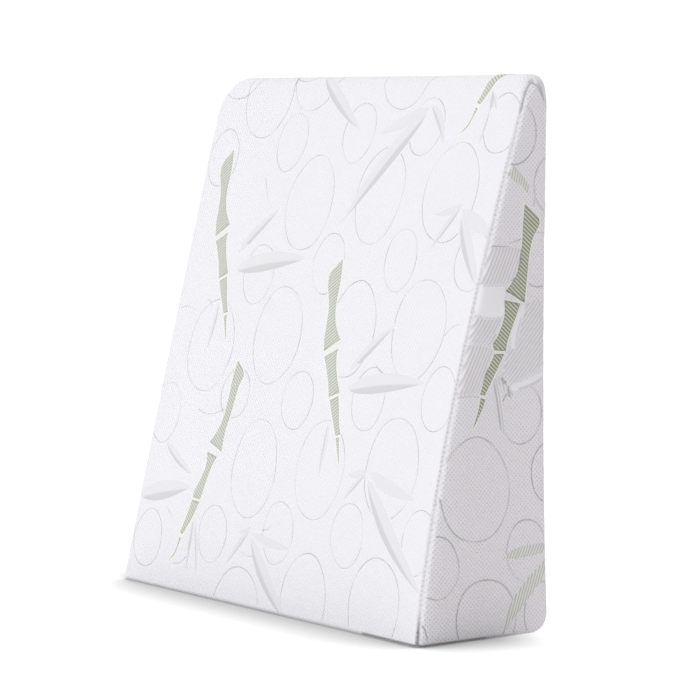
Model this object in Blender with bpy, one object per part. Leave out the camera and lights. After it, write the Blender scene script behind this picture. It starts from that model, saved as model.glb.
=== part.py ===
"""A wedge pillow in its knitted cover, standing on its thick end. Metres, +Z up.

The sleeping face slopes and looks along -Y, the back is upright and looks along +Y, and the thin end is
on top. The filled cover is one solid. It is lofted through level sections, each a loop of four panels that
meet at sewn seams: the sleeping face, the right gusset, the back and the left gusset. Both gussets taper
to a point on the thin end. The thick end is closed by a flat sole, sewn in just above its edge.
"""

import math

import bmesh
import bpy

# The cut of the pillow
WIDTH = 0.604
LENGTH = 0.613
THICK_END = 0.184
THIN_END = 0.028

# Rounding of the edges
FRONT_EDGE_RADIUS = 0.0065
BACK_EDGE_RADIUS = 0.009
NOSE_RADIUS = 0.0115
FOOT_RADIUS = {"front": 0.003, "back": 0.020, "left": 0.010, "right": 0.004}
NOSE_CORNER_RADIUS = {"left": 0.045, "right": 0.018}

# How the stuffed cover departs from the flat cut
FACE_CROWN = 0.004
FACE_BOW = {"left": 0.005, "right": 0.011}
GUSSET_DRAW_IN = {"left": 0.005, "right": 0.0065}
GUSSET_HOLLOW = 0.003
BOW_PEAK = 0.42
BOW_FALL_OFF = 1.5
DRAW_IN_FALL_OFF = 3
EDGE_FADE = 0.16
NOSE_SLUMP = {"left": 0.0035, "right": 0.0}
NOSE_SLUMP_REACH = 0.15

# The sewn seams. Each gusset's two seams lie half way round the edges, and meet in its tip on the thin end.
# The sole is sewn in all round, just above its edge
SEAM_DEPTH = 0.0013
SEAM_ANGLE = math.radians(45)
TIP_SEAM_ANGLE = math.radians(9)
TIP_HEIGHT = LENGTH - 0.005
TIP_REACH = 0.030
SOLE_SEAM_HEIGHT = 0.0025
SOLE_SEAM_DEPTH = 0.0012

# The share of a section's half thickness that rounded corners take at most
ROOM_FOR_ROUNDING = 0.96

# How finely the loops are divided
FACE_STEPS = 26
GUSSET_STEPS = 8
BACK_STEPS = 14
CORNER_STEPS = 3
BODY_LEVELS = 30
LOWEST_BODY_LEVEL = 0.026
HIGHEST_BODY_LEVEL = 0.560
FOOT_LEVELS = (0.0, 0.0004, 0.0015, SOLE_SEAM_HEIGHT, 0.0035, 0.006, 0.010, 0.015, 0.020)
NOSE_DEPTHS = (0.043, 0.035, 0.028, 0.022, 0.017, 0.013, 0.0095, 0.0065, 0.004, 0.002, 0.0007, 0.0)

# Unevenness of the stuffed faces: where each soft swelling or dent lies, its reach and its height
SWELLINGS = (
    {"panel": "face", "across": -0.16, "up": 0.17, "reach": 0.11, "height": 0.0016},
    {"panel": "face", "across": 0.13, "up": 0.12, "reach": 0.10, "height": 0.0012},
    {"panel": "face", "across": 0.02, "up": 0.34, "reach": 0.12, "height": -0.0014},
    {"panel": "face", "across": -0.18, "up": 0.46, "reach": 0.10, "height": 0.0010},
    {"panel": "face", "across": 0.19, "up": 0.44, "reach": 0.11, "height": 0.0013},
    {"panel": "right", "across": -0.02, "up": 0.10, "reach": 0.07, "height": 0.0018},
    {"panel": "right", "across": 0.04, "up": 0.24, "reach": 0.06, "height": -0.0016},
    {"panel": "right", "across": 0.03, "up": 0.37, "reach": 0.06, "height": 0.0016},
    {"panel": "left", "across": 0.01, "up": 0.13, "reach": 0.08, "height": 0.0018},
    {"panel": "left", "across": 0.04, "up": 0.31, "reach": 0.07, "height": -0.0014},
)

COVER_COLOUR = (0.84, 0.84, 0.86, 1.0)
COVER_ROUGHNESS = 0.85


def clear_scene():
    for obj in list(bpy.data.objects):
        bpy.data.objects.remove(obj)


def arc_inset(distance, radius):
    """How far a rounded edge stands back from the flat, at this distance from the corner's own flat."""
    if distance >= radius:
        return 0.0
    return radius - math.sqrt(radius**2 - (radius - distance) ** 2)


def bow(height):
    """Rises from 0 at the thick end to 1 at BOW_PEAK of the length, and back to 0 at the thin end."""
    share = min(max(height / LENGTH, 0.0), 1.0)
    turned = share ** (math.log(0.5) / math.log(BOW_PEAK))
    return math.sin(math.pi * turned)


def ease(value):
    """0 up to 0, 1 from 1 on, and a smooth rise between them."""
    share = min(max(value, 0.0), 1.0)
    return share * share * (3.0 - 2.0 * share)


def swelling(panel, across, height):
    total = 0.0
    for row in SWELLINGS:
        if row["panel"] == panel:
            away = math.hypot(across - row["across"], height - row["up"]) / row["reach"]
            total += row["height"] * math.exp(-away * away)
    return total


def section_limits(height):
    """The four straight sides of the section at this height, before the cover is stuffed."""
    down = LENGTH - height
    thickness = THICK_END + (THIN_END - THICK_END) * height / LENGTH
    back = THICK_END / 2 - arc_inset(height, FOOT_RADIUS["back"]) - arc_inset(down, NOSE_RADIUS)
    front = (
        THICK_END / 2 - thickness
        + arc_inset(height, FOOT_RADIUS["front"])
        + arc_inset(down, NOSE_RADIUS)
    )
    sides = {}
    for side, sign in (("left", -1.0), ("right", 1.0)):
        inset = arc_inset(height, FOOT_RADIUS[side]) + arc_inset(down, NOSE_CORNER_RADIUS[side])
        sides[side] = sign * (WIDTH / 2 - inset)
    sunk = SOLE_SEAM_DEPTH if height == SOLE_SEAM_HEIGHT else 0.0
    return sides["left"] + sunk, sides["right"] - sunk, front + sunk, back - sunk


def corner_arc(centre, radius, first_angle, last_angle, seam_depth):
    """Points of one panel's part of a rounded corner. The first one is sunk by seam_depth, for a seam."""
    points = []
    for step in range(CORNER_STEPS + 1):
        angle = first_angle + (last_angle - first_angle) * step / CORNER_STEPS
        reach = radius - seam_depth if step == 0 else radius
        points.append((centre[0] + reach * math.cos(angle), centre[1] + reach * math.sin(angle)))
    return points


def straight(first, last, steps):
    """The points between two ends, without the ends."""
    points = []
    for step in range(1, steps):
        share = step / steps
        points.append((first[0] + (last[0] - first[0]) * share, first[1] + (last[1] - first[1]) * share))
    return points


def section(height):
    """One level loop as (panel, x, y) rows: the face from its left seam, then the right, back and left."""
    limits = section_limits(height)
    full = (limits[3] - limits[2]) / 2 * ROOM_FOR_ROUNDING
    near_tip = ease((height - TIP_HEIGHT + TIP_REACH) / TIP_REACH)
    front_radius = FRONT_EDGE_RADIUS + (full - FRONT_EDGE_RADIUS) * near_tip
    back_radius = BACK_EDGE_RADIUS + (full - BACK_EDGE_RADIUS) * near_tip
    angle = SEAM_ANGLE + (TIP_SEAM_ANGLE - SEAM_ANGLE) * near_tip
    return rounded_loop(limits, front_radius, back_radius, angle, SEAM_DEPTH)


def rounded_loop(limits, front_radius, back_radius, angle, seam_depth):
    """Four panels between rounded corners. A seam splits each corner, at angle from the gusset's facing."""
    left, right, front, back = limits
    front_left = (left + front_radius, front + front_radius)
    front_right = (right - front_radius, front + front_radius)
    back_right = (right - back_radius, back - back_radius)
    back_left = (left + back_radius, back - back_radius)
    half = math.pi / 2
    panels = (
        ("face", front_left, front_radius, front_right, front_radius, -half, half - angle, FACE_STEPS),
        ("right", front_right, front_radius, back_right, back_radius, 0.0, angle, GUSSET_STEPS),
        ("back", back_right, back_radius, back_left, back_radius, half, half - angle, BACK_STEPS),
        ("left", back_left, back_radius, front_left, front_radius, math.pi, angle, GUSSET_STEPS),
    )
    loop = []
    for panel, start, start_radius, end, end_radius, facing, turn, steps in panels:
        opening = corner_arc(start, start_radius, facing - turn, facing, seam_depth)
        closing = corner_arc(end, end_radius, facing, facing + turn, 0.0)
        points = opening + straight(opening[-1], closing[0], steps) + closing[:-1]
        loop.extend((panel, x, y) for x, y in points)
    return loop


def stuffed(panel, x, y, height):
    """Moves a point of the flat cut to where the filled cover holds it."""
    left, right, front, back = section_limits(height)
    across = min(max((x - left) / (right - left), 0.0), 1.0)
    depth = min(max((y - front) / (back - front), 0.0), 1.0)
    held = bow(height)

    # The sleeping face is pushed forward, and the back stays where it lies flat on a bed
    bowed = FACE_BOW["left"] + (FACE_BOW["right"] - FACE_BOW["left"]) * across
    y -= held * bowed * (1.0 - depth) ** BOW_FALL_OFF
    edge_distance = min(x - left, right - x, height, LENGTH - height)
    if panel == "face":
        y -= ease(edge_distance / EDGE_FADE) * (FACE_CROWN + swelling(panel, x, height))

    # The gussets are drawn in between their ends, and a little more between their seams
    side = "left" if across < 0.5 else "right"
    inwards = 1.0 if side == "left" else -1.0
    pull = GUSSET_DRAW_IN[side] * held * abs(2.0 * across - 1.0) ** DRAW_IN_FALL_OFF
    if panel == side:
        pull += (GUSSET_HOLLOW * held - swelling(panel, y, height)) * math.sin(math.pi * depth)

    # The thin end slumps a little towards one side
    slump = NOSE_SLUMP["left"] + (NOSE_SLUMP["right"] - NOSE_SLUMP["left"]) * across
    z = height - slump * ease((height - LENGTH + NOSE_SLUMP_REACH) / NOSE_SLUMP_REACH)
    return x + inwards * pull, y, z


def levels():
    body = [
        LOWEST_BODY_LEVEL + (HIGHEST_BODY_LEVEL - LOWEST_BODY_LEVEL) * step / BODY_LEVELS
        for step in range(BODY_LEVELS + 1)
    ]
    nose = [LENGTH - depth for depth in NOSE_DEPTHS]
    return [*FOOT_LEVELS, *body, *nose]


def add_loop(mesh, points):
    return [mesh.verts.new(point) for point in points]


def bridge(mesh, lower, upper):
    count = len(lower)
    for index in range(count):
        after = (index + 1) % count
        mesh.faces.new((lower[index], lower[after], upper[after], upper[index]))


def stand_at_origin(mesh):
    """Puts the origin under the middle of the bounding box."""
    for axis in (0, 1):
        lowest = min(vert.co[axis] for vert in mesh.verts)
        highest = max(vert.co[axis] for vert in mesh.verts)
        for vert in mesh.verts:
            vert.co[axis] -= (lowest + highest) / 2


def make_cover_material():
    material = bpy.data.materials.new("knitted_cover")
    material.use_nodes = True
    shader = material.node_tree.nodes["Principled BSDF"]
    shader.inputs["Base Color"].default_value = COVER_COLOUR
    shader.inputs["Roughness"].default_value = COVER_ROUGHNESS
    shader.inputs["Metallic"].default_value = 0.0
    return material


def make_pillow():
    mesh = bmesh.new()
    loops = []
    for height in levels():
        loops.append([stuffed(panel, x, y, height) for panel, x, y in section(height)])

    rings = [add_loop(mesh, points) for points in loops]
    for lower, upper in zip(rings, rings[1:]):
        bridge(mesh, lower, upper)
    mesh.faces.new(rings[-1])
    mesh.faces.new(list(reversed(rings[0])))

    bmesh.ops.recalc_face_normals(mesh, faces=mesh.faces)
    stand_at_origin(mesh)
    data = bpy.data.meshes.new("wedge_pillow")
    mesh.to_mesh(data)
    mesh.free()
    data.shade_smooth()
    data.set_sharp_from_angle(angle=math.radians(60))
    data.materials.append(make_cover_material())
    pillow = bpy.data.objects.new("wedge_pillow", data)
    bpy.context.scene.collection.objects.link(pillow)
    return pillow


def main():
    clear_scene()
    make_pillow()


main()
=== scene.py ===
"""Wedge pillow: its knitted cover with the raised bamboo pattern, the sewn seams and the studio, built round the
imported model. Lengths are in metres unless a name or comment says millimetres."""
import math

import bmesh
import bpy
import numpy as np
from mathutils import Matrix, Vector, noise
from mathutils.bvhtree import BVHTree
from mathutils.geometry import delaunay_2d_cdt
from mathutils.kdtree import KDTree


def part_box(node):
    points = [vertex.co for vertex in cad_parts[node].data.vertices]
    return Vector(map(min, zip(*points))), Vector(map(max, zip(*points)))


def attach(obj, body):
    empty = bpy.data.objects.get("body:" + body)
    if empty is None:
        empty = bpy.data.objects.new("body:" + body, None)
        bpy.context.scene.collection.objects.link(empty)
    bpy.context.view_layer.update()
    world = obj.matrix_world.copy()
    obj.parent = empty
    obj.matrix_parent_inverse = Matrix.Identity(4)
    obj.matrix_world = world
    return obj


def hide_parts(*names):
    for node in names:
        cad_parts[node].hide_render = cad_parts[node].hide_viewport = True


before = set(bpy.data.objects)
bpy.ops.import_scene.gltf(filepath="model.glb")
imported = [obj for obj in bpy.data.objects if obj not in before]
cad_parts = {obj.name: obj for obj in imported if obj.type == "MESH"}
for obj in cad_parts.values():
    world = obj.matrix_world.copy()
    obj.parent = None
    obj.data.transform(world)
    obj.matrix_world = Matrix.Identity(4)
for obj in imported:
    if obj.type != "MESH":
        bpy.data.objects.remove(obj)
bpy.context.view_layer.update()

bl_info = {
    "name": "Wedge pillow",
    "version": (1, 0, 0),
    "blender": (4, 5, 0),
    "location": "View3D > Sidebar > Wedge pillow",
    "description": "Builds the knitted cover, seams and studio of a wedge pillow",
    "category": "Object",
}

NODE = "wedge_pillow"
LOW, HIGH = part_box(NODE)
THIN = 0.028
CORNER = {1: 0.018, -1: 0.045}
SOLE_GROOVE = 0.0025
SOLE_HEIGHT = 0.0018
SLOPE = math.atan2(HIGH.y - LOW.y - THIN, HIGH.z)
FACE_T = (math.sin(SLOPE), math.cos(SLOPE))
FACE_N = (-math.cos(SLOPE), math.sin(SLOPE))
NOSE_TURN = math.pi - SLOPE

# The knitted-in repeat, charted in millimetres: across, up the slope, half width, half height.
FRONT_ELLIPSES = [
    (-53, 477, 45, 57), (-61, 318, 46, 58), (212, 497, 45, 57), (208, 341, 45, 57), (-54, 160, 44, 58),
    (-198, 297, 50, 56), (77, 171, 46, 57), (82, 490, 44, 57), (84, 334, 44, 56), (209, 185, 45, 57),
    (-191, 612, 48, 58), (79, 648, 46, 57), (80, 20, 44, 56), (214, 31, 46, 56), (-100, 647, 48, 58),
    (-119, 550, 29, 36), (12, 563, 30, 36), (-261, 528, 32, 36), (11, 407, 30, 36), (150, 417, 29, 36),
    (-126, 388, 31, 36), (-271, 210, 32, 37), (6, 246, 30, 34), (143, 258, 30, 36), (267, 268, 28, 36),
    (274, 422, 28, 34), (14, 92, 30, 36), (149, 104, 30, 36), (-119, 76, 29, 34), (-260, 56, 31, 35),
    (277, 111, 28, 36), (273, 577, 30, 34), (139, 572, 30, 34), (-122, 244, 29, 30), (-53, -8, 48, 52),
]
SIDE_ELLIPSES = [
    (-8, 164, 48, 57), (2, 22, 42, 44), (58, 243, 28, 33), (-64, 84, 30, 34), (62, 92, 28, 34), (44, 550, 31, 34),
    (100, 493, 27, 33), (98, 176, 27, 34), (86, 21, 30, 34), (80, 411, 25, 30),
]
# Each culm is a string of joints: left edge and right edge from the top down, in millimetres.
CULM_RIGHTWARD = [
    ([(-241, 539), (-261, 517), (-249, 483), (-246, 462), (-245, 447), (-240, 430)],
     [(-241, 539), (-237, 516), (-235, 483), (-227, 462), (-213, 446)]),
    ([(-237, 424), (-229, 413), (-219, 396), (-212, 379)],
     [(-213, 436), (-213, 425), (-206, 407), (-193, 386)]),
    ([(-209, 376), (-199, 360), (-190, 346), (-184, 337)],
     [(-194, 382), (-188, 368), (-183, 354), (-175, 339)]),
    ([(-182, 334), (-179, 328), (-165, 303)],
     [(-176, 336), (-174, 328), (-165, 303)]),
]
CULM_LEFTWARD = [
    ([(-130, 283), (-133, 266), (-135, 222), (-141, 201), (-155, 182)],
     [(-130, 283), (-112, 268), (-118, 251), (-122, 222), (-127, 197), (-127, 173)]),
    ([(-156, 170), (-154, 153), (-161, 136), (-170, 122), (-171, 114)],
     [(-135, 166), (-143, 150), (-152, 122), (-155, 113)]),
    ([(-172, 111), (-179, 92), (-189, 70)],
     [(-156, 110), (-167, 90), (-183, 68)]),
    ([(-189, 65), (-192, 52), (-197, 43), (-208, 32)],
     [(-185, 63), (-190, 52), (-195, 42), (-208, 32)]),
]
CULM_SIDE = [
    ([(60, 473), (58, 452), (57, 432), (54, 409), (48, 394), (34, 379)],
     [(60, 473), (81, 454), (72, 435), (67, 416), (64, 392), (61, 365)]),
    ([(32, 369), (32, 351), (25, 334), (17, 321), (18, 315)],
     [(55, 364), (48, 349), (38, 326), (35, 313)]),
    ([(19, 311), (8, 291), (-1, 268)],
     [(33, 310), (18, 285), (6, 266)]),
    ([(0, 264), (-3, 251), (-11, 230)],
     [(7, 262), (2, 250), (-11, 230)]),
]
# Each leaf: kind, stem end, tip, width, sag to one side of the straight line between them, in millimetres.
FRONT_LEAVES = [
    ("soft", (-180, 412), (-110, 469), 11, 2), ("soft", (-176, 392), (-36, 412), 20, 3),
    ("soft", (96, 287), (166, 344), 11, 2), ("soft", (100, 267), (238, 284), 20, 3),
    ("soft", (133, 593), (50, 562), 14, 1), ("soft", (131, 589), (20, 457), 19, -3),
    ("soft", (138, 597), (177, 552), 10, 5), ("soft", (-89, 636), (10, 567), 16, -2),
    ("soft", (-292, 105), (-180, 126), 21, 2), ("soft", (-256, 174), (-183, 141), 10, -2),
    ("soft", (237, 484), (195, 471), 8, 2), ("soft", (235, 482), (198, 430), 7, -1),
    ("soft", (240, 478), (300, 453), 16, -2), ("soft", (241, 472), (294, 392), 16, -2),
    ("soft", (168, 179), (132, 171), 8, 2), ("soft", (166, 177), (131, 141), 6, -1),
    ("soft", (173, 177), (258, 156), 14, -3), ("soft", (172, 169), (297, 56), 18, -7),
    ("soft", (-42, 93), (-66, 84), 5, 2), ("soft", (-44, 90), (-85, 42), 7, -1),
    ("soft", (-38, 86), (44, 77), 9, -3), ("soft", (-38, 80), (55, -4), 17, -6),
    ("soft", (-201, 350), (-207, 289), 7, 2), ("soft", (76, 225), (76, 162), 7, 2),
    ("soft", (-164, 86), (-166, 26), 6, -1), ("soft", (-160, 86), (-143, 22), 6, 3),
    ("soft", (243, 614), (246, 588), 5, 1), ("soft", (245, 612), (258, 590), 4, 1),
    ("soft", (245, 590), (240, 552), 4, 1),
]
SIDE_LEAVES = [
    ("satin", (61, 362), (46, 314), 10, -3), ("satin", (40, 271), (94, 287), 9, -3),
    ("ribbed", (25, 286), (47, 262), 9, 0), ("ribbed", (20, 285), (33, 222), 8, 2),
]
# Broad leaves that the seam or a culm cuts off: kind, lean of their ribs in degrees, outline in millimetres.
SIDE_PATCHES = [
    ("ribbed", 64, [(-8, 388), (2, 426), (40, 426), (56, 424), (53, 404), (44, 389), (34, 387)]),
    ("satin", 0, [(-12, 385), (33, 384), (33, 367), (30, 352), (13, 351), (-16, 357)]),
    ("ribbed", 52, [(-22, 351), (13, 348), (29, 348), (21, 338), (18, 321), (-28, 328), (-26, 340)]),
    ("ribbed", 62, [(-30, 325), (17, 317), (8, 292), (-3, 270), (-46, 270)]),
    ("ribbed", 48, [(62, 362), (78, 368), (92, 364), (93, 298), (72, 287), (45, 277), (31, 285), (38, 312),
                    (52, 318)]),
    ("sage", 62, [(29, 86), (39, 93), (53, 97), (73, 98), (92, 98), (92, 89), (76, 86), (62, 85), (46, 84)]),
    ("sage", 68, [(22, 1), (29, 18), (38, 36), (49, 49), (63, 61), (92, 82), (92, 66), (79, 54), (65, 40),
                  (53, 30), (44, 20), (36, 18), (29, 6)]),
    ("sage", 78, [(42, 515), (36, 505), (43, 499), (53, 494), (66, 483), (66, 491), (60, 500), (52, 508)]),
]
# Short drawn lines of the pattern: start, end, sag.
FRONT_STROKES = [
    ((-155, 504), (-140, 479), 0), ((145, 297), (173, 290), -4),
    ((-286, 339), (-250, 337), 4), ((-230, 98), (-213, 86), 1), ((-55, 62), (-30, 60), -2),
    ((-194, 32), (-168, 45), -4), ((-227, 352), (-214, 344), 2), ((-17, 92), (-2, 98), -2),
    ((-195, 219), (-140, 223), -6), ((256, 338), (277, 352), 3),
]
SIDE_STROKES = [
    ((-29, 266), (-3, 265), 1), ((38, 431), (55, 435), -1), ((13, 428), (40, 427), 0), ((74, 493), (73, 471), 1),
    ((-85, 28), (-78, 7), 1),
]
RIB_LEAN = {"right": 35, "left": -33, "side": -39}
REPEAT_UP = 662.0
REPEAT_ACROSS = 208.0


def hit(start, way, reach=0.4):
    """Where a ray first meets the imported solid."""
    place, _, _, _ = SOLID.ray_cast(Vector(start), Vector(way).normalized(), reach)
    if place is None:
        raise RuntimeError("no surface found from %s along %s" % (tuple(start), tuple(way)))
    return place


def solid_tree():
    """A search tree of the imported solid, its loose triangles merged and its sole groove filled, to be sewn anew."""
    mesh = bpy.data.objects[NODE].data
    work = bmesh.new()
    work.from_mesh(mesh)
    bmesh.ops.remove_doubles(work, verts=work.verts, dist=1e-5)
    for vert in work.verts:
        if abs(vert.co.z - SOLE_GROOVE) < 2e-4:
            vert.co.x += math.copysign(0.0012, vert.co.x) if abs(vert.co.x) > 0.285 else 0.0
            vert.co.y += math.copysign(0.0012, vert.co.y) if abs(vert.co.y) > 0.055 else 0.0
    tree = BVHTree.FromBMesh(work)
    work.free()
    return tree


SOLID = solid_tree()


def nose(across):
    """Centre (y, z), radius and unrolled start of the rounding along the thin end, at one place across."""
    drop = 0.0
    for side, radius in CORNER.items():
        limit = (HIGH.x if side > 0 else -LOW.x) - radius
        over = min(max(side * across - limit, 0.0), radius)
        drop = max(drop, radius - math.sqrt(radius * radius - over * over))
    radius = (THIN + math.tan(SLOPE) * drop) / 1.778
    centre = (HIGH.y - radius, HIGH.z - drop - radius)
    start = (centre[0] - LOW.y) * FACE_T[0] + centre[1] * FACE_T[1]
    return centre, radius, start


def wrap_place(across, along):
    """Where the wrap panel's flat point lies on the smooth wedge, and the outward direction there."""
    centre, radius, start = nose(across)
    if along < start:
        return Vector((across, LOW.y + FACE_T[0] * along, FACE_T[1] * along)), Vector((0.0, *FACE_N))
    turn = NOSE_TURN - (along - start) / radius
    if turn > 0.0:
        out = Vector((0.0, math.cos(turn), math.sin(turn)))
        return Vector((across, centre[0] + radius * out.y, centre[1] + radius * out.z)), out
    end = start + radius * NOSE_TURN
    return Vector((across, HIGH.y, centre[1] - (along - end))), Vector((0.0, 1.0, 0.0))


def wrap_flat(place):
    """The wrap panel's flat point for a place on the surface."""
    centre, radius, start = nose(place.x)
    rel_y = place.y - centre[0]
    rel_z = place.z - centre[1]
    turn = math.atan2(rel_z, rel_y)
    if 0.0 <= turn <= NOSE_TURN:
        return place.x, start + radius * (NOSE_TURN - turn)
    if rel_y * FACE_N[0] + rel_z * FACE_N[1] > rel_y:
        return place.x, (place.y - LOW.y) * FACE_T[0] + place.z * FACE_T[1]
    return place.x, start + radius * NOSE_TURN + centre[1] - place.z


PANELS = {
    "wrap": {"to_flat": wrap_flat, "to_place": wrap_place},
    "right": {
        "to_flat": lambda p: (p.y, p.z),
        "to_place": lambda a, b: (Vector((HIGH.x, a, b)), Vector((1.0, 0.0, 0.0))),
    },
    "left": {
        "to_flat": lambda p: (p.y, p.z),
        "to_place": lambda a, b: (Vector((LOW.x, a, b)), Vector((-1.0, 0.0, 0.0))),
    },
    "sole": {
        "to_flat": lambda p: (p.x, p.y),
        "to_place": lambda a, b: (Vector((a, b, 0.0)), Vector((0.0, 0.0, -1.0))),
    },
}


def spaced(points, step):
    """The same line with points an even step apart, ends kept."""
    line = np.array([tuple(p) for p in points], dtype=float)
    lengths = np.r_[0.0, np.cumsum(np.linalg.norm(np.diff(line, axis=0), axis=1))]
    count = max(2, int(round(lengths[-1] / step)) + 1)
    wanted = np.linspace(0.0, lengths[-1], count)
    return np.stack([np.interp(wanted, lengths, line[:, k]) for k in range(line.shape[1])], axis=1)


def smooth_line(points, step):
    """A soft curve through the points, evenly spaced."""
    p = [np.array(q, dtype=float) for q in points]
    p = [2 * p[0] - p[1]] + p + [2 * p[-1] - p[-2]]
    out = []
    for a, b, c, d in zip(p, p[1:], p[2:], p[3:]):
        for t in np.linspace(0.0, 1.0, 8, endpoint=False):
            out.append(0.5 * (2 * b + (c - a) * t + (2 * a - 5 * b + 4 * c - d) * t * t
                              + (3 * b - a - 3 * c + d) * t ** 3))
    out.append(p[-2])
    return spaced(out, step)


def edge_y(across, height, way):
    """Depth of the face (way -1) or back (way 1) at one place across and one height."""
    return hit((across, way * 0.3, height), (0.0, -way, 0.0)).y


def gusset_seams(side):
    """Front and back seam of one gusset, each from the foot up to the shared tip."""
    inner = side * (abs(HIGH.x if side > 0 else LOW.x) - 0.016)
    lower = 0.0 if side > 0 else 0.0085
    tip = (0.0700, 0.6055 - lower)
    front = []
    for height in np.linspace(SOLE_HEIGHT, 0.580 - lower, 60):
        front.append((edge_y(inner, height, -1) + 0.0019, height))
    front += [(0.0600, 0.5925 - lower), (0.0648, 0.6005 - lower), tip]
    back = []
    for height in np.linspace(SOLE_HEIGHT, 0.566 - lower, 60):
        back.append((edge_y(inner, height, 1) - 0.0026, height))
    back += [(0.0872, 0.5790 - lower), (0.0825, 0.5880 - lower), (0.0758, 0.5985 - lower), tip]
    seams = []
    for line in (front, back):
        places = [hit((side * 0.36, y, z), (-side, 0.0, 0.0)) for y, z in spaced(line, SETTINGS.seam_step)]
        seams.append(places)
    seams[1][-1] = seams[0][-1]
    return seams


def sole_seam(first, last, way):
    """The sole's seam along one bottom edge between two corners; way points outward."""
    count = max(2, int(round((last - first).length / SETTINGS.seam_step)))
    places = [first]
    for k in range(1, count):
        spot = first.lerp(last, k / count)
        start = Vector((spot.x + way[0] * 0.2, spot.y + way[1] * 0.2, SOLE_HEIGHT))
        places.append(hit(start, (-way[0], -way[1], 0.0)))
    places.append(last)
    return places


def seam_depth(place):
    """How deep the sewn seam is drawn in, deeper at the tip of the gusset and at the near bottom corner."""
    depth = SETTINGS.seam_depth
    if place.z > HIGH.z - 0.040:
        depth += 0.0014
    if place.x > 0.2 and place.y < 0.0:
        depth += 0.0026 * max(0.0, 1.0 - place.z / 0.042)
    return depth


def seam_shade_at(place):
    """How much shade is painted into the seam here: most at the tip of the gusset and at the near bottom corner."""
    if place.z > HIGH.z - 0.040:
        return 0.5
    if place.x > 0.2 and place.y < 0.0:
        return max(0.1, min(0.9, 1.5 - place.z / 0.028))
    return 0.1


def sew():
    """All seam lines as lists of places on the surface, the pieces that each panel's outline is later made of."""
    lines = {}
    for name, side in (("right", 1), ("left", -1)):
        lines[name + "_front"], lines[name + "_back"] = gusset_seams(side)
    lines["sole_front"] = sole_seam(lines["left_front"][0], lines["right_front"][0], (0, -1))
    lines["sole_right"] = sole_seam(lines["right_front"][0], lines["right_back"][0], (1, 0))
    lines["sole_back"] = sole_seam(lines["left_back"][0], lines["right_back"][0], (0, 1))
    lines["sole_left"] = sole_seam(lines["left_front"][0], lines["left_back"][0], (-1, 0))
    return lines


OUTLINES = {
    "wrap": [("sole_front", 1), ("right_front", 1), ("right_back", -1), ("sole_back", -1), ("left_back", 1),
             ("left_front", -1)],
    "right": [("sole_right", 1), ("right_back", 1), ("right_front", -1)],
    "left": [("sole_left", 1), ("left_back", 1), ("left_front", -1)],
    "sole": [("sole_front", 1), ("sole_right", 1), ("sole_back", -1), ("sole_left", -1)],
}


def inside(points, outline):
    """Which flat points lie inside a closed outline."""
    points = np.asarray(points, dtype=float)
    line = np.asarray(outline, dtype=float)
    after = np.roll(line, -1, axis=0)
    result = np.zeros(len(points), dtype=bool)
    low = line.min(axis=0)
    high = line.max(axis=0)
    near = np.where(np.all((points >= low) & (points <= high), axis=1))[0]
    for first in range(0, len(near), 4000):
        some = near[first:first + 4000]
        x = points[some, 0][:, None]
        y = points[some, 1][:, None]
        crosses = (line[None, :, 1] > y) != (after[None, :, 1] > y)
        rise = np.where(after[:, 1] == line[:, 1], 1e-12, after[:, 1] - line[:, 1])
        meet = line[None, :, 0] + (y - line[None, :, 1]) * ((after[:, 0] - line[:, 0]) / rise)[None, :]
        result[some] = (np.sum(crosses & (x < meet), axis=1) % 2) == 1
    return result


def near_tree(points):
    """A search tree of flat points."""
    tree = KDTree(len(points))
    for k, p in enumerate(points):
        tree.insert((p[0], p[1], 0.0), k)
    tree.balance()
    return tree


def ellipse_line(centre_x, centre_y, half_x, half_y, grow=0.0, step=3.0):
    """A closed ellipse, a little uneven as knitting makes it."""
    turns = np.linspace(0.0, 2.0 * math.pi, 180, endpoint=False)
    wobble = 1.0 + 0.012 * np.sin(3.0 * turns + centre_x) + 0.008 * np.sin(5.0 * turns + centre_y)
    x = centre_x + (half_x * wobble + grow) * np.cos(turns)
    y = centre_y + (half_y * wobble + grow) * np.sin(turns)
    ring = np.stack([np.r_[x, x[:1]], np.r_[y, y[:1]]], axis=1)
    return spaced(ring, step)


def culm_outline(joint):
    """The closed outline of one joint of a culm."""
    left = smooth_line(joint[0], 2.2)
    right = smooth_line(joint[1], 2.2)
    ring = np.r_[left, right[::-1]]
    keep = [0]
    for k in range(1, len(ring)):
        if np.linalg.norm(ring[k] - ring[keep[-1]]) > 0.8:
            keep.append(k)
    ring = ring[keep]
    if np.linalg.norm(ring[0] - ring[-1]) < 0.8:
        ring = ring[:-1]
    return ring


def leaf_spine(leaf, t):
    """A point on a leaf's midrib."""
    base = np.array(leaf[1], dtype=float)
    tip = np.array(leaf[2], dtype=float)
    axis = tip - base
    across = np.array((-axis[1], axis[0])) / np.linalg.norm(axis)
    t = np.asarray(t, dtype=float)[:, None]
    return base + axis * t + across * leaf[4] * 4.0 * t * (1.0 - t), across


def leaf_outline(leaf, share=1.0):
    """The closed outline of a leaf: widest a third of the way up, drawn to a point."""
    t = np.linspace(0.0, 1.0, 40)
    spine, across = leaf_spine(leaf, t)
    if leaf[0] == "soft":
        half = 0.57 * leaf[3] * share * np.sin(math.pi * t ** 0.75) ** 0.8
    else:
        half = 0.5 * leaf[3] * share * np.minimum(1.0, 5.0 * t) ** 0.5 * np.minimum(1.0, 5.0 * (1 - t)) ** 0.5
    upper = spine + across * half[:, None]
    lower = spine - across * half[:, None]
    ring = np.r_[upper, lower[::-1][1:-1], upper[:1]]
    return spaced(ring, 2.6)[:-1]


def empty_chart():
    """No motifs yet."""
    return {"ellipses": [], "culms": [], "leaves": [], "patches": [], "strokes": []}


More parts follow.
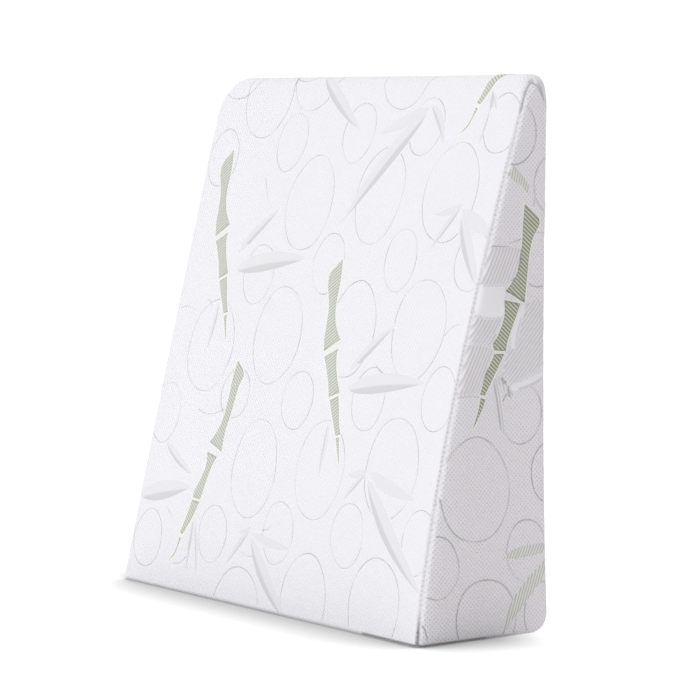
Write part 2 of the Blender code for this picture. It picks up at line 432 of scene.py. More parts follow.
def shifted(motifs, across, up, flip=1.0):
    """The same motifs moved, and mirrored where flip is -1."""
    moved = empty_chart()
    for x, y, a, b in motifs["ellipses"]:
        moved["ellipses"].append((flip * x + across, y + up, a, b))
    for lean, culm in motifs["culms"]:
        joints = []
        for sides in culm:
            joints.append(tuple([(flip * x + across, y + up) for x, y in side] for side in sides))
        moved["culms"].append((flip * lean, joints))
    for kind, lean, ring in motifs["patches"]:
        moved["patches"].append((kind, flip * lean, [(flip * x + across, y + up) for x, y in ring]))
    for kind, base, tip, width, sag in motifs["leaves"]:
        ends = [(flip * p[0] + across, p[1] + up) for p in (base, tip)]
        moved["leaves"].append((kind, ends[0], ends[1], width, flip * sag))
    for start, end, sag in motifs["strokes"]:
        ends = [(flip * p[0] + across, p[1] + up) for p in (start, end)]
        moved["strokes"].append((ends[0], ends[1], flip * sag))
    return moved


def joined(*groups):
    """Several groups of motifs as one."""
    out = empty_chart()
    for group in groups:
        for key in out:
            out[key] += group[key]
    return out


def chart(panel):
    """The motifs that one panel shows, in its own flat millimetres."""
    alone = empty_chart()
    rightward = (RIB_LEAN["right"], CULM_RIGHTWARD)
    leftward = (RIB_LEAN["left"], CULM_LEFTWARD)
    if panel == "wrap":
        front = dict(alone, ellipses=FRONT_ELLIPSES, culms=[rightward, leftward], leaves=FRONT_LEAVES,
                     strokes=FRONT_STROKES)
        face = joined(front, shifted(dict(alone, culms=[rightward]), 279, -125))
        upper = shifted(dict(alone, culms=[leftward]), 409, 530)
        left = shifted(face, -REPEAT_ACROSS, REPEAT_UP)
        right = shifted(face, 2.0 * REPEAT_ACROSS, REPEAT_UP)
        right["culms"] = []
        return joined(face, upper, left, right)
    side = dict(alone, ellipses=SIDE_ELLIPSES, culms=[(RIB_LEAN["side"], CULM_SIDE)], leaves=SIDE_LEAVES,
                patches=SIDE_PATCHES, strokes=SIDE_STROKES)
    if panel == "right":
        return shifted(side, -1.5, 0)
    if panel == "left":
        return shifted(side, 0, -60, -1.0)
    return dict(alone, ellipses=[e for e in FRONT_ELLIPSES if e[1] < 300])


def clip(line, outline, tree, margin, holes=()):
    """The parts of a line well inside the panel and outside the motifs lying over it, as separate runs."""
    ok = inside(line, outline)
    for k, p in enumerate(line):
        if ok[k] and tree.find((p[0], p[1], 0.0))[2] < margin:
            ok[k] = False
    for hole in holes:
        ok &= ~inside(line, hole)
    runs = []
    run = []
    for k, p in enumerate(line):
        if ok[k]:
            run.append(p)
        elif run:
            runs.append(run)
            run = []
    if run:
        runs.append(run)
    return [r for r in runs if len(r) > 1]


def offset_ring(ring, by):
    """A closed outline grown outward, or drawn inward where by is negative."""
    before = np.roll(ring, 1, axis=0)
    after = np.roll(ring, -1, axis=0)
    way = after - before
    length = np.maximum(np.linalg.norm(way, axis=1), 1e-9)
    normal = np.stack([way[:, 1], -way[:, 0]], axis=1) / length[:, None]
    area = 0.5 * np.sum(ring[:, 0] * after[:, 1] - after[:, 0] * ring[:, 1])
    return ring + normal * (by if area > 0 else -by)


def rib_axis(lean):
    """The direction across ribs that lean by so many degrees from the level."""
    turn = math.radians(lean)
    return np.array((-math.sin(turn), math.cos(turn)))


class Cut:
    """One cut panel: its outline, its motifs and the rails that the mesh must follow, in flat millimetres."""

    def __init__(self, name, outline):
        self.name = name
        self.outline = np.array(outline)
        self.dense = spaced(np.r_[self.outline, self.outline[:1]], 0.6)
        self.edge = near_tree(self.dense)
        motifs = chart(name)
        self.culms = []
        for lean, culm in motifs["culms"]:
            axis = rib_axis(lean)
            for joint in culm:
                ring = culm_outline(joint)
                if inside(ring, self.outline).any():
                    self.culms.append((ring, axis))
        self.leaves = []
        for leaf in motifs["leaves"]:
            ring = leaf_outline(leaf)
            if inside(ring, self.outline).any():
                self.leaves.append((ring, leaf))
        self.patches = []
        for kind, lean, corners in motifs["patches"]:
            ring = spaced(corners + corners[:1], 2.4)[:-1]
            if inside(ring, self.outline).any():
                self.patches.append((ring, kind, rib_axis(lean)))
        covers = [offset_ring(ring, 1.8) for ring, _ in self.culms]
        leaf_rings = [ring for ring, _ in self.leaves] + [ring for ring, _, _ in self.patches]
        self.rails = []
        self.drawn = []
        self.culm_edges = []
        self.leaf_edges = []
        for ring, _ in self.culms:
            for by in (0.0, 1.6, -1.3):
                closed = offset_ring(ring, by)
                closed = np.r_[closed, closed[:1]]
                runs = clip(closed, self.outline, self.edge, 2.2)
                self.rails += runs
                if by == 0.0:
                    self.culm_edges += runs
        for ring, leaf in self.leaves:
            closed = np.r_[ring, ring[:1]]
            runs = clip(closed, self.outline, self.edge, 2.2, covers)
            self.rails += runs
            self.leaf_edges += runs
            if leaf[3] > 9:
                inner = leaf_outline(leaf, 1.0 - 4.0 / leaf[3])
                self.rails += clip(np.r_[inner, inner[:1]], self.outline, self.edge, 2.2, covers)
            self.rails += clip(leaf_spine(leaf, np.linspace(0.1, 0.9, 12))[0], self.outline, self.edge, 2.2, covers)
        for ring, _, _ in self.patches:
            for by in (0.0, -2.4):
                closed = offset_ring(ring, by)
                runs = clip(np.r_[closed, closed[:1]], self.outline, self.edge, 2.2, covers)
                self.rails += runs
                if by == 0.0:
                    self.leaf_edges += runs
        strokes = []
        for x, y, a, b in motifs["ellipses"]:
            strokes.append([ellipse_line(x, y, a, b, by) for by in (0.0, -1.7, 1.7)])
        for start, end, sag in motifs["strokes"]:
            base = np.array(start, dtype=float)
            way = np.array(end, dtype=float) - base
            across = np.array((-way[1], way[0])) / np.linalg.norm(way)
            t = np.linspace(0.0, 1.0, 14)[:, None]
            middle = spaced(base + way * t + across * sag * 4 * t * (1 - t), 2.6)
            strokes.append([middle + across * by for by in (0.0, -1.6, 1.6)])
        for group in strokes:
            for k, line in enumerate(group):
                runs = clip(line, self.outline, self.edge, 2.2, covers + leaf_rings)
                self.rails += runs
                if k == 0:
                    self.drawn += runs
        self.near_drawn = self.tree_of(self.drawn)
        self.near_culm = self.tree_of(self.culm_edges)
        self.near_leaf = self.tree_of(self.leaf_edges)

    @staticmethod
    def tree_of(runs):
        """A search tree of finely spaced points on the runs."""
        points = [p for run in runs for p in spaced(run, 0.5)]
        return near_tree(points or [(1e6, 1e6)])

    def step_at(self, x, y):
        """How far apart the free points of the mesh stand here."""
        coarse = SETTINGS.grid_step * 1000.0
        if self.name == "wrap" and y < 600.0 or self.name == "right":
            return coarse
        if self.name == "wrap" and y < 720.0:
            return coarse * 0.62
        return coarse * 1.7

    def free_points(self, rail_tree):
        """Points of the plain ground between the rails."""
        low = self.outline.min(axis=0)
        high = self.outline.max(axis=0)
        points = []
        y = low[1]
        row = 0
        while y < high[1]:
            step = self.step_at(0.0, y)
            xs = np.arange(low[0] + (0.5 * step if row % 2 else 0.0), high[0], step)
            points.append(np.stack([xs, np.full_like(xs, y)], axis=1))
            y += step * 0.866
            row += 1
        points = np.concatenate(points)
        points = points[inside(points, self.outline)]
        kept = []
        for p in points:
            spot = (p[0], p[1], 0.0)
            if self.edge.find(spot)[2] > 7.5 and rail_tree.find(spot)[2] > 1.5:
                kept.append(p)
        return kept

    def lips(self):
        """Rows of points that follow the panel's edge just inside it."""
        rows = []
        for by in (1.3, 2.9, 5.2):
            ring = offset_ring(spaced(np.r_[self.outline, self.outline[:1]], 3.0 if by < 5 else 4.0)[:-1], -by)
            ring = ring[inside(ring, self.outline)]
            rows += [p for p in ring if self.edge.find((p[0], p[1], 0.0))[2] > by * 0.9]
        return rows


def gusset_roll(cut, flat):
    """How far a gusset swells out behind its front seam, in millimetres, with soft slanting folds low down."""
    if cut.name not in ("right", "left"):
        return np.zeros(len(flat))
    front, back = cut.sides
    start = np.interp(flat[:, 1], front[:, 1], front[:, 0])
    end = np.interp(flat[:, 1], back[:, 1], back[:, 0])
    width = np.maximum(end - start, 1.0)
    away = np.clip(flat[:, 0] - start, 0.0, width)
    swell = (1.0 - np.exp(-away / 10.0)) * (1.0 - away / width) ** 0.8 * np.minimum(1.0, width / 110.0)
    held = 1.0 - np.exp(-np.maximum(flat[:, 1], 0.0) / 6.0)
    folds = np.sin((0.84 * flat[:, 0] + 0.54 * flat[:, 1]) * 2.0 * math.pi / 13.0 + 0.02 * flat[:, 1])
    low = np.exp(-((flat[:, 1] - 60.0) / 55.0) ** 2) * np.clip(away / 30.0, 0.0, 1.0)
    return SETTINGS.gusset_swell * 1000.0 * swell * held + 0.16 * folds * low * held * (1.0 - away / width) ** 0.3


def surface(cut, flat):
    """Place in space and knitted relief for each flat point of a panel, with the values the cloth's colours use."""
    culm_height = np.zeros(len(flat))
    rib = np.zeros(len(flat))
    shade = np.zeros(len(flat))
    dome = np.zeros(len(flat))
    for ring, axis in cut.culms:
        held = inside(flat, offset_ring(ring, 0.4))
        culm_height[held] = 1.0
        reach = np.all((flat > ring.min(axis=0) - 6) & (flat < ring.max(axis=0) + 6), axis=1)
        rib[reach] = flat[reach] @ axis
    for ring, leaf in cut.leaves:
        reach = np.all((flat > ring.min(axis=0) - 6) & (flat < ring.max(axis=0) + 6), axis=1) & (culm_height < 0.5)
        base = np.array(leaf[1], dtype=float)
        axis = np.array(leaf[2], dtype=float) - base
        length = np.linalg.norm(axis)
        across = np.array((-axis[1], axis[0])) / length
        rel = flat[reach] - base
        t = np.clip(rel @ axis / length ** 2, 0.0, 1.0)
        off = rel @ across - leaf[4] * 4.0 * t * (1.0 - t)
        rib[reach] = off
        down = 1.0 if across[1] < 0.0 else -1.0
        shade[reach] = np.clip(0.5 + down * off / max(leaf[3], 1.0), 0.0, 1.0)
        held = inside(flat, ring)
        dome[held & (culm_height < 0.5)] = 0.2 + (0.05 if leaf[0] == "satin" else 0.008) * leaf[3]
    for ring, kind, axis in cut.patches:
        reach = np.all((flat > ring.min(axis=0) - 6) & (flat < ring.max(axis=0) + 6), axis=1)
        near = reach & inside(flat, offset_ring(ring, 1.5)) & (culm_height < 0.5)
        rib[near] = flat[near] @ axis
        shade[near] = 0.3
        dome[near & inside(flat, ring)] = 1.5 if kind == "satin" else 0.7
    roll = gusset_roll(cut, flat)
    places = []
    line = np.zeros(len(flat))
    halo = np.zeros(len(flat))
    crease = np.zeros(len(flat))
    bold = 1.0 if cut.name == "wrap" else 0.6
    for k, (x, y) in enumerate(flat):
        spot = (x, y, 0.0)
        base, out = PANELS[cut.name]["to_place"](x / 1000.0, y / 1000.0)
        ground = hit(base + out * 0.05, -out, 0.12)
        drawn = cut.near_drawn.find(spot)[2]
        culm = cut.near_culm.find(spot)[2]
        leaf = cut.near_leaf.find(spot)[2]
        edge = cut.edge.find(spot)[2]
        height = -0.32 * math.exp(-(drawn / 0.8) ** 2) + 0.12 * math.exp(-((drawn - 2.0) / 1.2) ** 2)
        if culm_height[k] > 0.5:
            height = 0.25 + 0.55 * min(1.0, culm / 1.6)
        else:
            height += -0.25 * math.exp(-(culm / 0.8) ** 2) + 0.22 * math.exp(-((culm - 2.2) / 1.0) ** 2)
        if dome[k] > 0.0:
            height += (dome[k] * (1.0 - math.exp(-leaf / 3.5)) - 0.1) * min(1.0, edge / 6.0)
        height += roll[k]
        height += -0.28 * math.exp(-(leaf / 0.7) ** 2)
        height += 0.35 * math.exp(-((edge - 3.4) / 2.4) ** 2)
        wave = noise.noise(ground * 9.0) * 0.9 + noise.noise(ground * 26.0 + Vector((3.0, 1.0, 7.0))) * 0.45
        pucker = noise.noise(Vector((ground.x, ground.y, ground.z)) * 75.0) * math.exp(-edge / 11.0)
        fade = min(1.0, edge / 9.0)
        height += SETTINGS.dents * 1000.0 * wave * fade + SETTINGS.puckers * 1000.0 * pucker * min(1.0, edge / 2.5)
        place = ground + out * height / 1000.0
        place.z = max(place.z, 0.0)
        places.append(place)
        line[k] = min(drawn * bold, 8.0)
        # How much shade is painted into the seam at this point.
        crease[k] = seam_shade_at(ground) * math.exp(-(edge / 0.9) ** 2)
        halo[k] = min(culm, 8.0)
    return places, {"line": line, "rib": rib, "shade": shade, "halo": halo, "crease": crease}


def face_kind(cut, centres):
    """Which cloth each triangle shows: 0 ground, 1 culm, 2 soft leaf, 3 ribbed leaf, 4 satin leaf, 5 sage leaf."""
    kinds = np.zeros(len(centres), dtype=int)
    slots = {"soft": 2, "ribbed": 3, "satin": 4, "sage": 5}
    for ring, kind, _ in cut.patches:
        kinds[inside(centres, ring)] = slots[kind]
    for ring, leaf in cut.leaves:
        kinds[inside(centres, ring)] = slots[leaf[0]]
    for ring, _ in cut.culms:
        kinds[inside(centres, ring)] = 1
    return kinds


def linear(code):
    """The linear colour of an sRGB hex code."""
    out = []
    for k in (0, 2, 4):
        c = int(code[k:k + 2], 16) / 255.0
        out.append(c / 12.92 if c <= 0.04045 else ((c + 0.055) / 1.055) ** 2.4)
    return (*out, 1.0)


def put(tree, kind, inputs=None, **settings):
    """Adds one shader node with its settings and its values or links."""
    made = tree.nodes.new(kind)
    for name, value in settings.items():
        setattr(made, name, value)
    for name, value in (inputs or {}).items():
        if isinstance(value, bpy.types.NodeSocket):
            tree.links.new(value, made.inputs[name])
        else:
            made.inputs[name].default_value = value
    return made


def maths(tree, work, a, b=0.0, clamp=False):
    """One sum between two values."""
    return put(tree, "ShaderNodeMath", {0: a, 1: b}, operation=work, use_clamp=clamp).outputs[0]


def ramp(tree, value, low, high, start=0.0, end=1.0):
    """A value carried smoothly from one range to another."""
    inputs = {"Value": value, "From Min": low, "From Max": high, "To Min": start, "To Max": end}
    return put(tree, "ShaderNodeMapRange", inputs, interpolation_type="SMOOTHSTEP").outputs["Result"]


def blend(tree, factor, a, b):
    """Two colours mixed."""
    made = put(tree, "ShaderNodeMix", {"Factor": factor}, data_type="RGBA")
    for socket, value in ((made.inputs[6], a), (made.inputs[7], b)):
        if isinstance(value, bpy.types.NodeSocket):
            tree.links.new(value, socket)
        else:
            socket.default_value = value
    return made.outputs[2]


def value_of(tree, name):
    """A value kept on the cloth's mesh."""
    return put(tree, "ShaderNodeAttribute", attribute_name=name).outputs["Fac"]


def cloth(name, rough=0.92, sheen=0.15):
    """An empty cloth material: its tree and its shader."""
    material = bpy.data.materials.new(name)
    material.use_nodes = True
    tree = material.node_tree
    shader = tree.nodes["Principled BSDF"]
    shader.inputs["Roughness"].default_value = rough
    shader.inputs["Specular IOR Level"].default_value = 0.25
    shader.inputs["Sheen Weight"].default_value = sheen
    shader.inputs["Sheen Roughness"].default_value = 0.5
    return material, tree, shader


def knit_dots(tree):
    """The pique's staggered pits, 3.75 mm from each to the next, from the panel's own flat map in metres."""
    uv = put(tree, "ShaderNodeUVMap", uv_map="cloth").outputs[0]
    split = put(tree, "ShaderNodeSeparateXYZ", {0: uv})
    turn = 2.0 * math.pi / 0.0053
    fuzz = put(tree, "ShaderNodeTexNoise", {"Vector": uv, "Scale": 240.0, "Detail": 2.0}).outputs["Fac"]
    shift = maths(tree, "MULTIPLY", fuzz, 1.6)
    a = maths(tree, "SINE", maths(tree, "ADD", maths(tree, "MULTIPLY", split.outputs[0], turn), shift))
    b = maths(tree, "SINE", maths(tree, "ADD", maths(tree, "MULTIPLY", split.outputs[1], turn), shift))
    pits = maths(tree, "MULTIPLY", a, b)
    return uv, split, ramp(tree, pits, 0.15, 0.85)


def stripes(tree, pitch):
    """Even ribs along the value kept as rib, in millimetres."""
    turned = maths(tree, "MULTIPLY", value_of(tree, "rib"), 2.0 * math.pi / pitch)
    return maths(tree, "ADD", maths(tree, "MULTIPLY", maths(tree, "SINE", turned), 0.5), 0.5)


def bumped(tree, shader, height, distance, strength=1.0):
    """Fine relief on a shader."""
    bump = put(tree, "ShaderNodeBump", {"Height": height, "Distance": distance, "Strength": strength})
    tree.links.new(bump.outputs[0], shader.inputs["Normal"])


def shaded_side_share(tree):
    """How far the cloth faces the dim right wall, 0 on the front and 1 on the gusset: the share of shade painted into
    its colours there.
    """
    where = put(tree, "ShaderNodeNewGeometry").outputs["True Normal"]
    return ramp(tree, put(tree, "ShaderNodeSeparateXYZ", {0: where}).outputs[0], 0.5, 0.95)


def make_ground():
    """Bleached polyester pique, circular knitted: soft white ground, rows of shallow pits, grey drawn outlines; shade
    is painted in on the gusset, in the pits and along the seams.
    """
    material, tree, shader = cloth("pique_knit_polyester_white")
    uv, split, dots = knit_dots(tree)
    line = value_of(tree, "line")
    stain = put(tree, "ShaderNodeTexNoise", {"Vector": uv, "Scale": 22.0, "Detail": 2.0}).outputs["Fac"]
    dash = put(tree, "ShaderNodeTexNoise", {"Vector": uv, "Scale": 330.0, "Detail": 1.0}).outputs["Fac"]
    strong = maths(tree, "MULTIPLY", ramp(tree, stain, 0.36, 0.58, 0.35, 1.0), ramp(tree, dash, 0.3, 0.5, 0.45, 1.0))
    ink = maths(tree, "MULTIPLY", ramp(tree, line, 0.15, 0.85, 0.8, 0.0), strong)
    side = shaded_side_share(tree)
    # Painted shade: the ground takes a darker tone on the gusset, which faces away from the light.
    plain = blend(tree, side, linear(GROUND_HEX), linear(GROUND_SHADED_SIDE_HEX))
    # Painted shade in the knit's pits: faint on the front, stronger on the gusset.
    pits = maths(tree, "MULTIPLY", dots, ramp(tree, side, 0.0, 1.0, PIT_SHADE[0], PIT_SHADE[1]))
    ground = blend(tree, pits, plain, linear(PAINTED_PIT_SHADE_HEX))
    rim = ramp(tree, value_of(tree, "halo"), 0.8, 2.2, 0.85, 0.0)
    ground = blend(tree, rim, ground, linear(RIM_HEX))
    colour = blend(tree, ink, ground, linear(OUTLINE_HEX))
    # Painted shade darkens the seams, most at the gusset's tip and near the bottom corner.
    colour = blend(tree, value_of(tree, "crease"), colour, linear(SEAM_SHADE_HEX))
    tree.links.new(colour, shader.inputs["Base Color"])
    height = maths(tree, "SUBTRACT", 1.0, maths(tree, "ADD", dots, maths(tree, "MULTIPLY", ink, 0.6)))
    bumped(tree, shader, height, 0.0005, 0.8)
    return material


def make_culm():
    """Viscose-bamboo jacquard float, cross ribbed: sage stripes over a paler sage, with a slight sheen; both sages
    are painted darker on the gusset as shade.
    """
    material, tree, shader = cloth("bamboo_jacquard_ribbed_sage", 0.8, 0.1)
    wave = stripes(tree, 3.6)
    side = shaded_side_share(tree)
    # Painted shade: darker copies of both sages on the gusset.
    dark = blend(tree, side, linear(CULM_FRONT_HEX[0]), linear(CULM_SHADED_SIDE_HEX[0]))
    light = blend(tree, side, linear(CULM_FRONT_HEX[1]), linear(CULM_SHADED_SIDE_HEX[1]))
    colour = blend(tree, ramp(tree, wave, 0.2, 0.8), dark, light)
    colour = blend(tree, ramp(tree, value_of(tree, "halo"), 0.3, 1.3, 0.7, 0.0), colour, dark)
    tree.links.new(colour, shader.inputs["Base Color"])
    bumped(tree, shader, wave, 0.0005, 0.9)
    return material


def make_leaf(name, pitch, light, dark, rib=None, rough=0.85):
    """Pale jacquard leaf: a light upper half, a greyer lower half and fine ribs where it is a ribbed one."""
    material, tree, shader = cloth(name, rough, 0.12)
    shade = ramp(tree, value_of(tree, "shade"), 0.56, 0.72)
    colour = blend(tree, shade, linear(light), linear(dark))
    if pitch:
        wave = stripes(tree, pitch)
        # On the pale ribbed leaf the darker stripes are painted shade between the ribs.
        colour = blend(tree, maths(tree, "MULTIPLY", ramp(tree, wave, 0.3, 0.9), 0.5), colour, linear(rib))
        bumped(tree, shader, wave, 0.0006, 0.9)
    else:
        _, _, dots = knit_dots(tree)
        bumped(tree, shader, maths(tree, "SUBTRACT", 1.0, dots), 0.0002, 0.5)
    tree.links.new(colour, shader.inputs["Base Color"])
    return material


GROUND_HEX = "E3E2E6"
# The ground's colour with shade painted in, for the gusset.
GROUND_SHADED_SIDE_HEX = "E2DEE2"
# Colour of the shade painted into the seams.
SEAM_SHADE_HEX = "8A8A8A"
# Colour and strength (front, gusset) of the shade painted into the knit's pits.
PAINTED_PIT_SHADE_HEX = "C4C2CC"
PIT_SHADE = (0.2, 0.6)
RIM_HEX = "E9E9DF"
OUTLINE_HEX = "A0A0A4"
CULM_FRONT_HEX = ("ABAFA3", "D0D2CA")
# The culm's sages with shade painted in, for the gusset.
CULM_SHADED_SIDE_HEX = ("8C8F7F", "C8CAB9")
LEAF_LIGHT_HEX = "D9D9DC"
LEAF_DARK_HEX = "C8C8CA"
# Shade painted between the ribs of the pale ribbed leaves.
RIB_SHADE_HEX = "B0AFB3"
RIB_SAGE_HEX = "8A8D82"


def make_cover():
    """The whole sewn cover as one closed mesh."""
    lines = sew()
    places = []
    ids = {}
    outward = {}
    for name, line in lines.items():
        ids[name] = []
        for place in line:
            key = tuple(round(c, 7) for c in place)
            if key not in outward:
                outward[key] = len(places)
                places.append(place.copy())
            ids[name].append(outward[key])
    normals = [Vector() for _ in places]
    loops = {}
    for panel, route in OUTLINES.items():
        loop = []
        for name, way in route:
            loop += (ids[name] if way > 0 else ids[name][::-1])[:-1]
        flat = [PANELS[panel]["to_flat"](places[k]) for k in loop]
        for k, (a, b) in zip(loop, flat):
            normals[k] += PANELS[panel]["to_place"](a, b)[1]
        loops[panel] = (loop, np.array(flat) * 1000.0)
    coords = []
    for place, normal in zip(places, normals):
        moved = place - normal.normalized() * seam_depth(place)
        moved.z = max(moved.z, 0.0)
        coords.append(moved)
    faces = []
    kinds = []
    maps = []
    values = {
        "line": [8.0] * len(coords),
        "halo": [8.0] * len(coords),
        "rib": [0.0] * len(coords),
        "shade": [0.3] * len(coords),
        # Shade painted into the seam points themselves.
        "crease": [seam_shade_at(place) for place in places],
    }
    for panel, (loop, outline) in loops.items():
        cut = Cut(panel, outline)
        if panel in ("right", "left"):
            cut.sides = [np.array([(p.y, p.z) for p in lines[panel + end]]) * 1000.0 for end in ("_front", "_back")]
        points = [tuple(p) for p in outline]
        edges = [(k, (k + 1) % len(points)) for k in range(len(points))]
        rail_points = []
        for run in cut.rails:
            first = len(points)
            points += [tuple(p) for p in run]
            rail_points += [tuple(p) for p in run]
            edges += [(first + k, first + k + 1) for k in range(len(run) - 1)]
        rail_tree = near_tree(rail_points or [(1e6, 1e6)])
        points += [tuple(p) for p in cut.lips() if rail_tree.find((p[0], p[1], 0.0))[2] > 1.2]
        points += [tuple(p) for p in cut.free_points(rail_tree)]
        made = delaunay_2d_cdt([Vector(p) for p in points], edges, [], 0, 1e-3, True)
        flat = np.array([tuple(v) for v in made[0]])
        sources = made[3]
        known = {}
        for k, came in enumerate(sources):
            for source in came:
                if source < len(loop):
                    known[k] = loop[source]
        free = [k for k in range(len(flat)) if k not in known]
        new_places, found = surface(cut, flat[free])
        for n, k in enumerate(free):
            known[k] = len(coords)
            coords.append(new_places[n])
        for name, kept in values.items():
            kept += list(found[name])
        triangles = [t for t in made[2] if len(t) == 3]
        centres = np.array([flat[list(t)].mean(axis=0) for t in triangles])
        keep = inside(centres, outline)
        kind = face_kind(cut, centres)
        turned = panel in ("left", "sole")
        for n, t in enumerate(triangles):
            if not keep[n] or len({known[k] for k in t}) < 3:
                continue
            order = t[::-1] if turned else t
            faces.append([known[k] for k in order])
            kinds.append(0 if any(known[k] < len(places) for k in t) else int(kind[n]))
            maps.append([flat[k] / 1000.0 for k in order])
    mesh = bpy.data.meshes.new("cover")
    mesh.from_pydata([tuple(c) for c in coords], [], faces)
    mesh.polygons.foreach_set("material_index", kinds)
    mesh.polygons.foreach_set("use_smooth", [True] * len(faces))
    layer = mesh.uv_layers.new(name="cloth")
    layer.data.foreach_set("uv", np.array(maps, dtype=np.float32).ravel())
    for name, kept in values.items():
        layer = mesh.attributes.new(name, "FLOAT", "POINT")
        layer.data.foreach_set("value", np.array(kept, dtype=np.float32))
    mesh.validate()
    mesh.update()
    cover = bpy.data.objects.new("cover", mesh)
    bpy.context.collection.objects.link(cover)
    for material in (
        make_ground(),
        make_culm(),
        make_leaf("jacquard_leaf_soft_grey", 0, LEAF_LIGHT_HEX, LEAF_DARK_HEX),
        # The pale ribbed leaf: its light tone is the gusset's ground with painted shade, its darker stripes painted
        # shade between the ribs.
        make_leaf("jacquard_leaf_ribbed_grey", 4.2, GROUND_SHADED_SIDE_HEX, LEAF_DARK_HEX, RIB_SHADE_HEX),
        make_leaf("jacquard_leaf_satin_white", 0, "E6E4E8", "CFCDD1", rough=0.6),
        make_leaf("jacquard_leaf_ribbed_sage", 3.6, "DEDEDB", LEAF_DARK_HEX, RIB_SAGE_HEX),
    ):
        mesh.materials.append(material)
    return cover, lines


def prism(path, radius, sides=6):
    """Points and faces of a thread along a path, rounded off at both ends."""
    points = []
    faces = []
    path = [Vector(p) for p in path]
    for k, place in enumerate(path):
        way = (path[min(k + 1, len(path) - 1)] - path[max(k - 1, 0)]).normalized()
        side = way.cross(Vector((0.31, 0.52, 0.79))).normalized()
        lift = side.cross(way)
        size = radius * (0.55 if k in (0, len(path) - 1) else 1.0)
        for n in range(sides):
            turn = 2.0 * math.pi * n / sides
            points.append(place + side * (size * math.cos(turn)) + lift * (size * math.sin(turn)))
    for k in range(len(path) - 1):
        for n in range(sides):
            m = (n + 1) % sides
            faces.append((k * sides + n, k * sides + m, (k + 1) * sides + m, (k + 1) * sides + n))
    faces.append(tuple(range(sides))[::-1])
    faces.append(tuple((len(path) - 1) * sides + n for n in range(sides)))
    return points, faces


def make_stitches(cover, lines):
    """The overlock thread that shows in the seams, one short slanted stitch after another."""
    tree = BVHTree.FromPolygons([v.co for v in cover.data.vertices], [tuple(p.vertices) for p in cover.data.polygons])
    coords = []
    faces = []
    for line in lines.values():
        path = spaced(line, 0.0034)
        for k in range(1, len(path) - 2):
            ends = []
            for place in (path[k], path[k + 1]):
                spot, normal, _, _ = tree.find_nearest(Vector(place))
                ends.append((spot, normal))
            along = ends[1][0] - ends[0][0]
            normal = (ends[0][1] + ends[1][1]).normalized()
            across = along.cross(normal).normalized() * 0.0008
            stitch = []
            for t, side, lift in ((0.0, 1.0, -0.0003), (0.3, 0.5, 0.0), (0.7, -0.5, 0.0), (1.0, -1.0, -0.0003)):
                stitch.append(ends[0][0] + along * t + across * side + normal * lift)
            points, sides = prism(stitch, 0.0002)
            first = len(coords)
            coords += [tuple(p) for p in points]
            faces += [tuple(first + n for n in face) for face in sides]
    mesh = bpy.data.meshes.new("seam_stitches")
    mesh.from_pydata(coords, [], faces)
    mesh.polygons.foreach_set("use_smooth", [True] * len(faces))
    mesh.update()
    stitches = bpy.data.objects.new("seam_stitches", mesh)
    bpy.context.collection.objects.link(stitches)
    material, _, shader = cloth("spun_polyester_thread", 0.75, 0.1)
    shader.inputs["Base Color"].default_value = linear("D9D7CE")
    mesh.materials.append(material)
    return stitches


# The photo's camera, fitted to the six corners that it shows: focal length in pixels, turns in degrees,
# distance, target and sideways shifts in metres.
FOCAL_PIXELS = 3218.8
PICTURE_PIXELS = 700.0
SENSOR = 36.0
CAMERA_YAW, CAMERA_PITCH, CAMERA_ROLL = 54.472, 4.981, -0.344
CAMERA_DISTANCE = 3.7239
CAMERA_TARGET = (0.0, 0.0, 0.305)
CAMERA_SHIFT = (0.0300, -0.0089)
KEY_DIRECTION = (0.10, -0.70, 0.70)
FLOOR_GREY = 0.34
SHADOW_REACH = 0.15
CONTACT_SHADOW = 0.8


def camera_matrix(yaw, pitch, roll, distance, target, shift_x, shift_y):
    """The camera's place and turn for angles round a target."""
    back = Vector((math.sin(yaw) * math.cos(pitch), -math.cos(yaw) * math.cos(pitch), math.sin(pitch)))
    right = Vector((math.cos(yaw), math.sin(yaw), 0.0))
    up = back.cross(right)
    turned_right = right * math.cos(roll) + up * math.sin(roll)
    turned_up = up * math.cos(roll) - right * math.sin(roll)
    place = Vector(target) + back * distance + right * shift_x + up * shift_y
    turn = Matrix((turned_right, turned_up, back)).transposed()
    return Matrix.Translation(place) @ turn.to_4x4()


class WedgePillowSettings(bpy.types.PropertyGroup):
    """Measures of the cover."""

    seam_step: bpy.props.FloatProperty(
        name="Seam point spacing", description="Distance between mesh points along a seam", default=0.003,
        unit="LENGTH")
    seam_depth: bpy.props.FloatProperty(
        name="Seam depth", description="How far a sewn seam is drawn in", default=0.0005, unit="LENGTH")
    grid_step: bpy.props.FloatProperty(
        name="Cloth point spacing", description="Distance between mesh points on the face", default=0.0046,
        unit="LENGTH")
    dents: bpy.props.FloatProperty(
        name="Dents", description="Height of the cloth's soft waves", default=0.0006, unit="LENGTH")
    puckers: bpy.props.FloatProperty(
        name="Puckers", description="Height of the puckers beside a seam", default=0.0007, unit="LENGTH")
    gusset_swell: bpy.props.FloatProperty(
        name="Gusset swell", description="How far a gusset swells out behind its front seam", default=0.005,
        unit="LENGTH")


